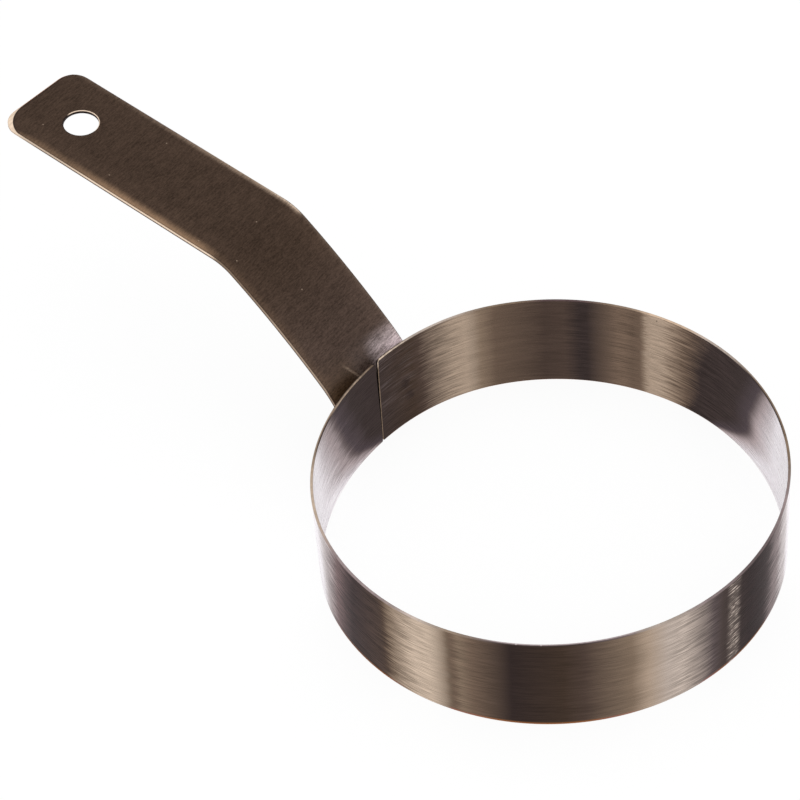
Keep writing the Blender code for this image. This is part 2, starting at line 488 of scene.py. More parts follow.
@dataclass(frozen=True)
class StreakZone:
    """A stretch of a wall where the brushing shows more, between two bearings.

    The pull is how many degrees its streaks shift the sheen, and the contrast is how much
    stronger they are than elsewhere.
    """

    start: float
    end: float
    pull: float = 0.0
    contrast: float = 0.0


INSIDE_ZONES = tuple(StreakZone(*zone) for zone in (
    (0.0, 22.0, 0.2, 0.6), (24.0, 66.0, 0.0, -0.5), (95.0, 106.0, 3.0, 0.5),
    (168.0, 180.0, -3.0, 0.3), (205.0, 238.0, 0.0, -0.6), (243.0, 252.0, -0.5, 0.0),
    (253.0, 266.0, 0.3, 1.3), (266.0, 283.0, 3.0, 0.4), (285.0, 292.0, -2.5, 0.8),
    (296.0, 302.0, 0.0, 0.6), (314.0, 330.0, 0.0, -0.35), (331.0, 345.0, -5.0, 0.3),
    (345.0, 357.0, 0.5, 0.9)))

OUTSIDE_ZONES = tuple(StreakZone(*zone) for zone in (
    (36.0, 58.0, 0.0, -0.5), (62.0, 79.0, -2.6, 2.0), (79.0, 86.0, 1.5, 2.2),
    (86.0, 95.0, 2.0, 0.8), (95.0, 103.0, 1.0, 0.4), (105.0, 116.0, 0.5, 0.8),
    (133.0, 138.0, 0.0, -0.3), (145.0, 156.0, 0.0, -0.55), (157.0, 171.0, -2.4, 0.9),
    (173.0, 187.0, 1.0, 2.6), (187.0, 200.0, 3.0, 1.0), (203.0, 230.0, 0.0, -0.5),
    (262.0, 274.0, 3.0, 0.5), (314.0, 326.0, 3.0, 0.5)))


@dataclass(frozen=True)
class WallPlace:
    """A place on the band: its bearing in degrees, and its run and height in millimetres."""

    bearing: Value
    run: Value
    height: Value

    @classmethod
    def on(cls, bench: NodeBench) -> "WallPlace":
        """Read the measures that the band's mesh keeps."""
        return cls(*(bench.measure(name) for name in ("bearing", "run", "height")))


@dataclass(frozen=True)
class WallFinish:
    """A brushed face of the band, with a sheen of light and dark reflections painted round the
    ring.

    Each shade is how strongly its grain darkens and lightens the sheen.
    """

    name: str
    sheen: tuple[Sheen, ...]
    zones: tuple[StreakZone, ...]
    surface: Surface = Surface()
    middle_height: float = 12.4
    broad: Grain = Grain(30.0, 2.5, 1.3)
    middle: Grain = Grain(9.0, 0.60, 5.1)
    fine: Grain = Grain(5.0, 0.26, 9.7, roughness=0.6)
    broad_shade: float = 0.08
    middle_shade: float = 0.14
    fine_shade: float = 0.26
    ragged_degrees: float = 0.9
    zone_blend_outside: float = 1.5
    zone_blend_inside: float = 2.5
    pale_sheen_matte_share: float = 0.9

    def make(self) -> bpy.types.Material:
        """Make the material.

        Returns:
            The material.
        """
        material, bench = new_material(self.name)
        at = WallPlace.on(bench)
        broad, middle, fine = (
            grain.lay(at.run, at.height) - 0.5 for grain in (self.broad, self.middle, self.fine))
        pull, contrast = self._streaks(at.bearing)
        ragged = (middle * 0.3 + fine * 0.7) * (pull + self.ragged_degrees)
        ragged = ragged + broad * self.ragged_degrees * 0.5
        # The sheen is painted reflection: light and dark bands in the colour by bearing.
        colour = painted_sheen_colour(bench, self.sheen, at.bearing + ragged + self._lean(at))
        shade = (fine * self.fine_shade + middle * self.middle_shade) * (contrast + 1.0)
        colour = bench.brightened(colour, shade + broad * self.broad_shade + 1.0)
        colour = self._marks(bench, colour, at)
        # Where the painted sheen is pale the steel is less metallic, so that it shows as painted.
        lightness = bench.number("ShaderNodeRGBToBW", None, {0: colour})
        pale_sheen_matte = lightness.rise(0.35, 0.95) * self.pale_sheen_matte_share
        roughness = fine * self.surface.roughness_swing + self.surface.roughness
        finish_steel(bench, self.surface, colour, roughness, fine, 1.0 - pale_sheen_matte)
        return material

    def _streaks(self, bearing: Value) -> tuple[Value | float, Value | float]:
        """How strongly the streaks show round the ring.

        Args:
            bearing: the place round the ring.

        Returns:
            The degrees by which they pull the sheen, and their added contrast.
        """
        before, after = self.zone_blend_outside, self.zone_blend_inside
        pull: Value | float = 0.0
        contrast: Value | float = 0.0
        for zone in self.zones:
            within = bearing.between(
                zone.start - before, zone.start + after, zone.end - after, zone.end + before)
            pull = within * zone.pull + pull
            contrast = within * zone.contrast + contrast
        return pull, contrast

    def _lean(self, at: WallPlace) -> Value:
        """How far the sheen leans with height.

        Args:
            at: the place on the wall.

        Returns:
            Degrees to add to the bearing.
        """
        raise NotImplementedError

    def _marks(self, bench: NodeBench, colour: object, at: WallPlace) -> Socket:
        """Add the marks that only this face has.

        Args:
            bench: the material's bench.
            colour: the colour so far.
            at: the place on the wall.

        Returns:
            The colour with the marks.
        """
        raise NotImplementedError


@dataclass(frozen=True)
class OutsideFinish(WallFinish):
    """The band's outer face: a broken painted highlight stripe, and a warm lower edge."""

    name: str = "band_outside_brushed"
    sheen: tuple[Sheen, ...] = OUTSIDE_PAINTED_SHEEN
    zones: tuple[StreakZone, ...] = OUTSIDE_ZONES
    left_lean: Stretch = (56.0, 64.0, 77.0, 84.0)
    right_lean: Stretch = (181.0, 186.0, 195.0, 202.0)
    stripe: Stretch = (172.8, 174.8, 175.8, 178.6)
    dashes: Grain = Grain(6.0, 0.50, 31.0, 0.50, 0.64)
    broken: Grain = Grain(1.6, 0.9, 33.0, 0.30, 0.60)

    def _lean(self, at: WallPlace) -> Value:
        """How far the sheen leans with height, near the two sides where it shows.

        Args:
            at: the place on the wall.

        Returns:
            Degrees to add to the bearing.
        """
        upward = at.height / self.middle_height - 1.0
        left, right = at.bearing.between(*self.left_lean), at.bearing.between(*self.right_lean)
        return upward * (left * -1.6 - right * 1.4)

    def _marks(self, bench: NodeBench, colour: object, at: WallPlace) -> Socket:
        """Add the painted highlight stripe and the warm edge.

        Args:
            bench: the material's bench.
            colour: the colour so far.
            at: the place on the wall.

        Returns:
            The colour with the marks.
        """
        # The stripe is a painted highlight, broken by the brushing.
        strokes = self.dashes.lay(at.run, at.height) * self.broken.lay(at.run, at.height)
        stripe = at.bearing.between(*self.stripe) * (strokes * 0.9 + 0.10)
        colour = bench.mix(stripe, colour, Tone.STONE * 1.45)
        return bench.mix(at.height.rise(0.85, 0.15), colour, Tone.ORANGE * 0.6, "LIGHTEN")


@dataclass(frozen=True)
class InsideFinish(WallFinish):
    """The band's inner face: bowls in the sheen, the welds' clouds, light lines and scratches."""

    name: str = "band_inside_brushed"
    sheen: tuple[Sheen, ...] = INSIDE_PAINTED_SHEEN
    zones: tuple[StreakZone, ...] = INSIDE_ZONES
    left_bowl_height: float = 6.5
    right_bowl_height: float = 8.5
    right_lean_from: float = 13.0
    right_lean: Stretch = (226.0, 238.0, 258.0, 272.0)
    light_stretch: Stretch = (343.0, 348.0, 356.0, 360.0)
    light_lines: Grain = Grain(9.0, 0.24, 22.0, 0.50, 0.70)
    cloud: Grain = Grain(1.6, 1.6, 27.0, 0.30, 0.62, detail=3.0)
    weld_marks: tuple[Mark, ...] = (
        Mark((348.4, 12.4), (1.9, 2.3), 0.80, 0.8), Mark((347.4, 7.9), (1.9, 2.3), 0.60, 0.8),
        Mark((5.3, 11.8), (2.2, 2.2), 0.45, 0.8), Mark((4.1, 6.4), (2.2, 2.2), 0.45, 0.8))
    scratched_patch: Mark = Mark((18.0, 7.5), (9.0, 5.5), 0.30, 0.8)
    pinprick: Mark = Mark((250.5, 23.6), share=0.8)

    def _lean(self, at: WallPlace) -> Value:
        """How far the sheen leans with height. Its dark zones end below in a bowl.

        Args:
            at: the place on the wall.

        Returns:
            Degrees to add to the bearing.
        """
        left_bowl = (1.0 - at.height / self.left_bowl_height).highest(0.0)
        right_bowl = (1.0 - at.height / self.right_bowl_height).highest(0.0)
        left_shift = left_bowl * left_bowl * 12.0 - (at.height - self.middle_height) * 0.455
        right_shift = (at.height - self.right_lean_from).highest(0.0) * 0.45
        right_shift = right_shift - right_bowl * right_bowl * 14.0
        right = at.bearing.between(*self.right_lean)
        return at.bearing.rise(38.0, 26.0) * left_shift + right * right_shift

    def _marks(self, bench: NodeBench, colour: object, at: WallPlace) -> Socket:
        """Add the light lines, the welds' clouds, the scratches and a pinprick.

        Args:
            bench: the material's bench.
            colour: the colour so far.
            at: the place on the wall.

        Returns:
            The colour with the marks.
        """
        bearing, run, height = at.bearing, at.run, at.height
        light = bearing.between(*self.light_stretch) * height.rise(3.0, 11.0) * 0.30
        cloud = self.cloud.lay(run, height)
        scratches = bench.noise(
            run / 14.0 - height / 3.0, height / 0.35 + run / 6.0, 41.0, 1.0).rise(0.60, 0.72)
        return bench.layered(
            colour, (light * self.light_lines.lay(run, height), Tone.DEEP_LILAC),
            *((mark.lay(bearing, height) * cloud, Tone.DARKEST * 0.85) for mark in self.weld_marks),
            (scratches * self.scratched_patch.lay(bearing, height), Tone.GREY_LILAC),
            (self.pinprick.lay(run, height), Tone.DARKEST * 0.5))


@dataclass(frozen=True)
class CutEdgeFinish:
    """The sheared rims and ends of the band: lighter than its faces, with a warm lower corner.

    The rims have a painted sheen; the ends in the seam have painted shade and a painted highlight
    line.
    The depth is from the outer face, and the tip is the way from the nearer end.
    """

    surface: Surface = Surface(roughness=0.34, anisotropic=0.0, bump=0.15)
    front: Stretch = (108.0, 120.0, 144.0, 152.0)
    right: Stretch = (222.0, 230.0, 246.0, 256.0)
    left: Stretch = (14.0, 22.0, 28.0, 38.0)
    end_line: Stretch = (0.02, 0.04, 0.15, 0.20)
    nicks: tuple[Mark, ...] = tuple(
        Mark((bearing, 0.32), (0.30, 0.22), 0.6) for bearing in (120.5, 126.2))

    def make(self) -> bpy.types.Material:
        """Make the material.

        Returns:
            The material.
        """
        material, bench = new_material("band_cut_edge")
        bearing, run, height, depth, tip = (
            bench.measure(name) for name in ("bearing", "run", "height", "depth", "tip"))
        grain = bench.noise(run / 0.9, height / 0.25, 3.7, 3.0, 0.7)
        patches = bench.noise(run / 6.0, height / 3.0, 8.2)
        # The end faces in the seam are painted dark as shade, with a painted highlight line on the
        # second end.
        end_painted_shade = tip.rise(0.30, 0.26)
        second_end = bearing.rise(100.0, 200.0)
        line = second_end * depth.rise(0.3, 0.4) * tip.between(*self.end_line)
        end_painted_highlight = bench.mix(height.rise(22.0, 24.4), Tone.LIGHT_BROWN * 1.25, Tone.CREAM * 1.1)
        lower_corner = height.rise(0.6, 0.2) * (1.0 - end_painted_shade)
        colour = bench.layered(
            self._rim(bench, bearing, depth), (end_painted_shade, Tone.DARK * 0.9), (line, end_painted_highlight),
            (lower_corner, Tone.ORANGE * 0.8))
        rough = (bearing.rise(16.0, 8.0) + bearing.rise(344.0, 350.0)) * 1.2 + 0.6
        shade = (grain - 0.5) * rough + (patches - 0.5) * 0.8 + 1.0
        colour = bench.layered(bench.brightened(colour, shade), *(
            (nick.lay(bearing, depth) * height.rise(20.0, 24.0), Tone.PALE_LILAC)
            for nick in self.nicks))
        finish_steel(bench, self.surface, colour, self.surface.roughness, grain)
        return material

    def _rim(self, bench: NodeBench, bearing: Value, depth: Value) -> Socket:
        """The upper rim's colour: its painted sheen, with darker outer sides in some stretches and
        painted shadow beside the seam.

        Args:
            bench: the material's bench.
            bearing: the place round the ring.
            depth: the depth from the outer face.

        Returns:
            The colour's socket.
        """
        outer = bench.mix(bearing.rise(134.0, 144.0), Tone.DUSK, Tone.GREY_LILAC)
        front = bench.mix(depth.rise(0.12, 0.38), outer, Tone.LILAC)
        # Beside the seam the rim's outer side is painted dark as shadow.
        seam_painted_shadow = bearing.rise(345.0, 349.0) * 0.85 + bearing.rise(20.0, 14.0) * 0.85
        return bench.layered(
            painted_sheen_colour(bench, RIM_PAINTED_SHEEN, bearing), (bearing.between(*self.front), front),
            (seam_painted_shadow * depth.rise(0.36, 0.22), Tone.DARK_BROWN),
            (bearing.between(*self.right) * depth.rise(0.28, 0.45), Tone.DUSK),
            (bearing.between(*self.left) * depth.rise(0.25, 0.40), Tone.DUSK * 1.2))


@dataclass(frozen=True)
class StripPlace:
    """A place on the handle: its run, its distance across and its depth, in millimetres."""

    run: Value
    across: Value
    depth: Value

    @classmethod
    def on(cls, bench: NodeBench) -> "StripPlace":
        """Read the measures that the handle's mesh keeps."""
        return cls(*(bench.measure(name) for name in ("run", "across", "depth")))


@dataclass(frozen=True)
class HandleOutline:
    """Where the handle's edges and bends are on its flat strip, in millimetres."""

    end: float
    half_width: float
    grip_start: float
    hole_run: float
    corner_bevel_radius: float = 7.30
    corner_bevel_inset: float = 0.25
    hole_edge_reach: tuple[float, float] = (5.2, 5.0)

    def beyond_corner(self, at: StripPlace) -> Value:
        """How far a place lies out from the middle of the near corner's bevel.

        Args:
            at: the place on the strip.

        Returns:
            The square of its distance.
        """
        middle_run = self.end - self.corner_bevel_inset - self.corner_bevel_radius
        along = (at.run - middle_run).highest(0.0)
        aside = (at.across - (self.half_width - self.corner_bevel_radius)).highest(0.0)
        return along * along + aside * aside

    def hole(self, at: StripPlace) -> Value:
        """Whether a place is in or next to the hanging hole.

        Args:
            at: the place on the strip.

        Returns:
            1 where it is, else 0.
        """
        along = at.run - self.hole_run
        outer, inner = self.hole_edge_reach
        return (along * along + at.across * at.across).rise(outer ** 2, inner ** 2)


@dataclass(frozen=True)
class HandleFinish:
    """The handle's brushed faces: dark, grained across the strip, with warm highlights painted at
    its edges.

    Each shade is how strongly its grain darkens and lightens the steel.
    """

    outline: HandleOutline
    surface: Surface = Surface(bump=0.3)
    broad: Grain = Grain(5.0, 8.0, 2.9, 0.30, 0.70)
    middle: Grain = Grain(0.32, 3.0, 6.3, 0.30, 0.70)
    fine: Grain = Grain(0.24, 0.6, 12.4, 0.30, 0.70)
    lines: Grain = Grain(9.0, 0.24, 17.9, 0.60, 0.74, detail=1.0)
    broad_shade: float = 0.12
    middle_shade: float = 0.34
    fine_shade: float = 0.48
    line_shade: float = 0.12
    grain_slant: float = 0.06
    line_slant: float = 0.02
    specks: tuple[Mark, ...] = tuple(Mark(at, share=0.55) for at in (
        (43.8, 1.0), (57.9, 8.9), (62.2, -2.4), (68.0, 10.4), (94.7, -7.9), (97.4, 8.2),
        (120.4, 6.1)))

    def make(self) -> bpy.types.Material:
        """Make the material.

        Returns:
            The material.
        """
        material, bench = new_material("handle_brushed")
        at = StripPlace.on(bench)
        run, across = at.run, at.across
        slanted = run + across * self.grain_slant
        broad, middle, fine = (
            grain.lay(slanted, across) - 0.5 for grain in (self.broad, self.middle, self.fine))
        lines = self.lines.lay(run, across - run * self.line_slant)
        grip, edge = self.outline.grip_start, self.outline.half_width
        colour = bench.layered(
            Tone.DARK_BROWN, (run.rise(grip - 36.0, grip - 8.0), Tone.UMBER * 0.95),
            (run.rise(grip - 4.0, grip + 10.0), Tone.UMBER * 1.02))
        fold = run.rise(30.0, 19.0)
        colour = self._fold_painted_reflections(bench, colour, at, fold, middle)
        # The light along the near and far edges is painted highlight.
        glow = self._near_painted_highlight(at)
        lip = across.rise(0.9 - edge, 0.2 - edge) * run.rise(grip + 10.0, grip)
        far = bench.mix(lip, Tone.WARM_TAN * 1.1, Tone.BRIGHT_TAN * 1.15)
        colour = bench.layered(colour, (glow, Tone.GOLD), (self._far_painted_highlight(at), far))
        # Painted light: the slope's far side and both sides of the strip are made lighter.
        painted_slope_light = run.rise(grip + 2.0, grip - 6.0) * across.rise(-6.0, -10.5) * 0.18
        painted_side_light = across.rise(5.5, 8.0) * 0.13 + across.rise(-6.0, -8.5) * 0.07
        shade = (fine * self.fine_shade + middle * self.middle_shade) * (1.0 - glow * 0.7)
        shade = shade + broad * self.broad_shade + lines * across.rise(-2.0, -9.0) * self.line_shade
        colour = bench.brightened(colour, shade + painted_slope_light + painted_side_light + 1.0)
        colour = bench.layered(
            colour, *((speck.lay(run, across), Tone.TAN) for speck in self.specks))
        colour = self._corner_bevel_painted_highlight(bench, colour, at, middle)
        roughness = fine * self.surface.roughness_swing + self.surface.roughness
        # In the fold the steel is less metallic, so that the reflections painted there show as
        # painted.
        metallic = 1.0 - fold * at.depth.rise(0.5, 0.3) * 0.8
        finish_steel(bench, self.surface, colour, roughness, fine, metallic)
        return material

    @staticmethod
    def _fold_painted_reflections(bench: NodeBench, colour: object, at: StripPlace, fold: Value,
                   grain: Value) -> Socket:
        """Add the reflections of the band that are painted at the fold: a lilac shine, a dark
        patch, a light line.

        Args:
            bench: the material's bench.
            colour: the colour so far.
            at: the place on the strip.
            fold: 1 in the fold, 0 on the slope.
            grain: a grain for the shine.

        Returns:
            The colour with the fold's marks.
        """
        run, across = at.run, at.across
        # Painted reflections of the band: its dark wall as a dark patch, its pale wall as a lilac
        # shine and its seam as a light line.
        dark = bench.mix(
            across.rise(0.0, 6.0), Tone.DARK_BROWN * 0.9, Tone.OLIVE_BROWN * 1.05)
        shine = run.rise(27.5, 19.5) * across.rise(-1.0, -5.8) * (grain * 0.5 + 0.95)
        forward, aside = run - 25.5, across - 5.1
        along = forward * -0.906 - aside * 0.424
        beside = forward * 0.424 - aside * 0.906
        line = (beside * beside).rise(0.16, 0.01) * along.between(-0.5, 3.0, 6.0, 8.0)
        return bench.layered(
            colour, (fold * 0.9, dark), (shine, Tone.LILAC * 1.18),
            (line * 0.38, Tone.WARM_TAN * 1.1))

    def _near_painted_highlight(self, at: StripPlace) -> Value:
        """The golden highlight painted along the near edge, which fades towards the grip's end.

        Args:
            at: the place on the strip.

        Returns:
            Its share, from 0 to 1.
        """
        grip, end, edge = self.outline.grip_start, self.outline.end, self.outline.half_width
        fading = at.run.rise(end - 18.0, end - 40.0) * 0.68 + 0.32
        strong = at.run.rise(grip - 3.0, grip + 6.0) * fading
        reach = at.run.rise(end - 3.0, end - 14.0) * 1.7 + 1.1
        near = ((at.across + reach - edge) / (reach + 0.2)).rise(0.0, 1.0)
        return near * (strong * 0.85 + 0.15)

    def _far_painted_highlight(self, at: StripPlace) -> Value:
        """The narrow highlight painted as a light strip along the far edge of the grip.

        Args:
            at: the place on the strip.

        Returns:
            Its share, from 0 to 1.
        """
        run, grip, edge = at.run, self.outline.grip_start, self.outline.half_width
        fading = run.rise(grip + 54.0, grip + 20.0) * 0.50
        fading = fading + run.rise(grip + 24.0, grip - 2.0) * 0.42 + 0.08
        strong = run.rise(grip - 6.2, grip - 4.2) * fading
        return at.across.rise(1.7 - edge, 0.2 - edge) * (strong * 0.85 + 0.08)

    def _corner_bevel_painted_highlight(self, bench: NodeBench, colour: object, at: StripPlace,
                      grain: Value) -> Socket:
        """Add the pale highlight of a bevel painted at the near corner of the grip's end, over a
        dark line.

        Args:
            bench: the material's bench.
            colour: the colour so far.
            at: the place on the strip.
            grain: a grain for the bevel.

        Returns:
            The colour with the bevel.
        """
        radius = self.outline.corner_bevel_radius
        past = self.outline.beyond_corner(at)
        upper = at.depth.rise(0.55, 0.45)
        dark_line = past.rise((radius - 0.7) ** 2, (radius - 0.1) ** 2) * upper
        bevel = bench.mix(
            at.across.rise(2.0, 7.0), Tone.WARM_TAN * 0.8, Tone.CREAM * 1.08)
        bevel = bench.brightened(bevel, grain * 0.3 + 1.0)
        inside = past.rise((radius - 0.06) ** 2, (radius + 0.06) ** 2) * upper
        return bench.layered(colour, (dark_line * 0.6, Tone.DARKEST * 0.8), (inside, bevel))


@dataclass(frozen=True)
class HandleEdgeFinish:
    """The cut edge round the handle and in its hole: a pale corner over a darker tear, with painted
    light and shade.
    """

    outline: HandleOutline
    surface: Surface = Surface(roughness=0.32, anisotropic=0.0, bump=0.2)

    def make(self) -> bpy.types.Material:
        """Make the material.

        Returns:
            The material.
        """
        material, bench = new_material("handle_cut_edge")
        at = StripPlace.on(bench)
        run, across, depth = at.run, at.across, at.depth
        grip, end = self.outline.grip_start, self.outline.end
        grain = bench.noise(run / 0.7, across / 0.7, 4.4, 3.0, 0.7) - 0.5
        on_grip = run.rise(grip - 2.0, grip + 1.0)
        before_corner = run.between(end - 30.0, end - 18.0, end - 9.0, end - 5.0)
        torn = depth.rise(0.34, 0.44) * (1.0 - run.rise(end - 14.0, end - 6.0) * 0.7)
        # Painted light and shade: the near edge is lighter, the far edge darker on the grip, and
        # the end's upper corner has a painted highlight.
        near = bench.layered(
            Tone.TAN, (run.rise(grip - 22.0, grip - 10.0), Tone.LIGHT_BROWN * 1.15),
            (on_grip, Tone.CREAM * 1.1), (before_corner * 0.6, Tone.BRIGHT_TAN),
            (torn, Tone.WARM_BROWN * 0.9))
        far = bench.mix(run.rise(grip + 18.0, grip + 32.0), Tone.TAN, Tone.DEEP_LILAC * 0.85)
        far = bench.mix(on_grip, Tone.DARK_BROWN, far)
        tip = bench.mix(depth.rise(0.28, 0.42), Tone.ORANGE * 0.9, Tone.WHITE)
        # In the hole, a painted highlight on the upper corner of one side, over painted shade.
        lit = depth.rise(0.16, 0.10) * across.rise(0.5, -0.8)
        hole_painted_light_and_shade = bench.mix(lit, Tone.DARKEST * 0.8, Tone.CREAM * 1.1)
        colour = bench.layered(
            far, (across.rise(-2.0, 2.0), near),
            (run.rise(end - 0.9, end - 0.4) * across.rise(9.0, 6.5), tip),
            (self.outline.hole(at), hole_painted_light_and_shade))
        colour = bench.brightened(colour, grain * 0.4 + 1.0)
        finish_steel(bench, self.surface, colour, self.surface.roughness, grain)
        return material


@dataclass(frozen=True)
class WeldFinish:
    """The weld nuggets between the two sheets: dull, dark and heat stained."""

    surface: Surface = Surface(roughness=0.5, anisotropic=0.0)
    grains_a_metre: float = 900.0

    def make(self) -> bpy.types.Material:
        """Make the material.

        Returns:
            The material.
        """
        material, bench = new_material("weld_nugget")
        place = bench.add("ShaderNodeTexCoord").outputs["Object"]
        grain = bench.number("ShaderNodeTexNoise", None, {
            "Vector": place, "Scale": self.grains_a_metre, "Detail": 3.0})
        colour = bench.mix(grain, Tone.DARKEST, Tone.WARM_BROWN)
        finish_steel(bench, self.surface, colour, self.surface.roughness, grain)
        return material


def mesh_object(name: str, corners: np.ndarray, faces: list[tuple[int, ...]],
                measures: dict[str, np.ndarray], materials: list[bpy.types.Material],
                slots: list[int]) -> bpy.types.Object:
    """Make one mesh piece.

    Args:
        name: the piece's name.
        corners: the place of each vertex.
        faces: the vertices of each face.
        measures: values kept for each vertex, by name.
        materials: the piece's materials.
        slots: which material each face has.

    Returns:
        The piece, in the scene and smooth shaded.
    """
    mesh = bpy.data.meshes.new(name)
    mesh.from_pydata(corners.tolist(), [], faces)
    for measure, values in measures.items():
        kept = mesh.attributes.new(measure, "FLOAT", "POINT")
        kept.data.foreach_set("value", values.astype(np.float32))
    for material in materials:
        mesh.materials.append(material)
    mesh.polygons.foreach_set("material_index", slots)
    mesh.shade_smooth()
    mesh.update()
    made = bpy.data.objects.new(name, mesh)
    bpy.context.scene.collection.objects.link(made)
    return made


def stepped(stretches: list[tuple[float, float]], start: float) -> np.ndarray:
    """Places along a line, in stretches of even steps.

    Args:
        stretches: for each stretch, where it ends and about how long its steps are.
        start: where the first stretch begins.

    Returns:
        Every place, from the start to the last end.
    """
    places = [start]
    for end, step in stretches:
        count = max(1, round((end - places[-1]) / step))
        places.extend(np.linspace(places[-1], end, count + 1)[1:])
    return np.array(places)


def smooth(share: np.ndarray) -> np.ndarray:
    """A smooth step of a share that is held between 0 and 1."""
    share = np.clip(share, 0.0, 1.0)
    return share * share * (3 - 2 * share)


def dimple(away: np.ndarray, radius: float, depth: float) -> np.ndarray:
    """The shallow pit that a welding tip leaves, with a flat bottom and a soft rim.

    Args:
        away: distances from its middle.
        radius: its radius.
        depth: its depth.

    Returns:
        How far the face is sunk at each distance.
    """
    return depth * smooth((1 - away / radius) / DIMPLE_RIM_SHARE)


def grid_loop(rows: tuple[int, int], lines: tuple[int, int]) -> list[tuple[int, int]]:
    """The points of a grid round the outline of a rectangle in it.

    Args:
        rows: the rectangle's first and last row.
        lines: its first and last line.

    Returns:
        Each point's row and line, in order.
    """
    (first, last), (low, high) = rows, lines
    return ([(row, low) for row in range(first, last)]
            + [(last, line) for line in range(low, high)]
            + [(row, high) for row in range(last, first, -1)]
            + [(first, line) for line in range(high, low, -1)])


